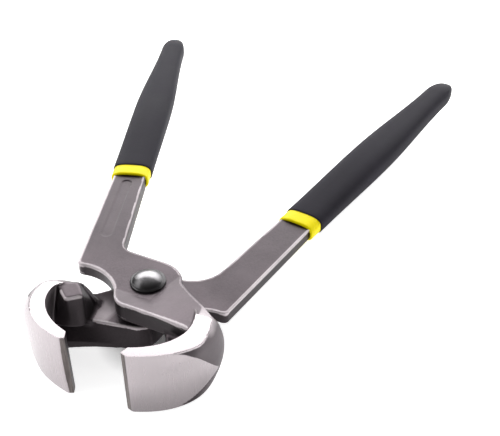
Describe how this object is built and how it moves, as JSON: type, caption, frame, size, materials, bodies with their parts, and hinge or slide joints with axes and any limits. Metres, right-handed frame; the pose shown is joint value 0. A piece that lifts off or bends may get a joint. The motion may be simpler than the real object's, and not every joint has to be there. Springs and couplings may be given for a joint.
{
  "type": "end cutting nippers",
  "caption": "End cutting nippers: two drop-forged steel levers with C-shaped jaws lapped on one domed rivet, black dipped grips with yellow collars.",
  "frame": {"origin": "on the rivet's axis, halfway between the two lapped faces", "axes": "+Z along the rivet's axis, +Y from the rivet towards the grips on the middle plane, so the cutting edges face -Y; the tool lies open as pictured"},
  "size_m": [0.156, 0.2363, 0.025],
  "materials": {
    "forged_steel": "satin",
    "rivet_steel": "satin",
    "black_vinyl": "matte",
    "yellow_vinyl": "satin"
  },
  "bodies": {
    "lower": {"lower_lever": "forged_steel", "rivet": "rivet_steel", "lower_grip": "black_vinyl", "lower_grip_collar": "yellow_vinyl"},
    "upper": {"upper_lever": "forged_steel", "upper_grip": "black_vinyl", "upper_grip_collar": "yellow_vinyl"}
  },
  "joints": [
    {"name": "pivot", "type": "hinge", "parent": "lower", "child": "upper", "pos_m": [0, 0, 0], "axis": [0, 0, 1], "range_deg": [-27.6, 20.5]}
  ]
}
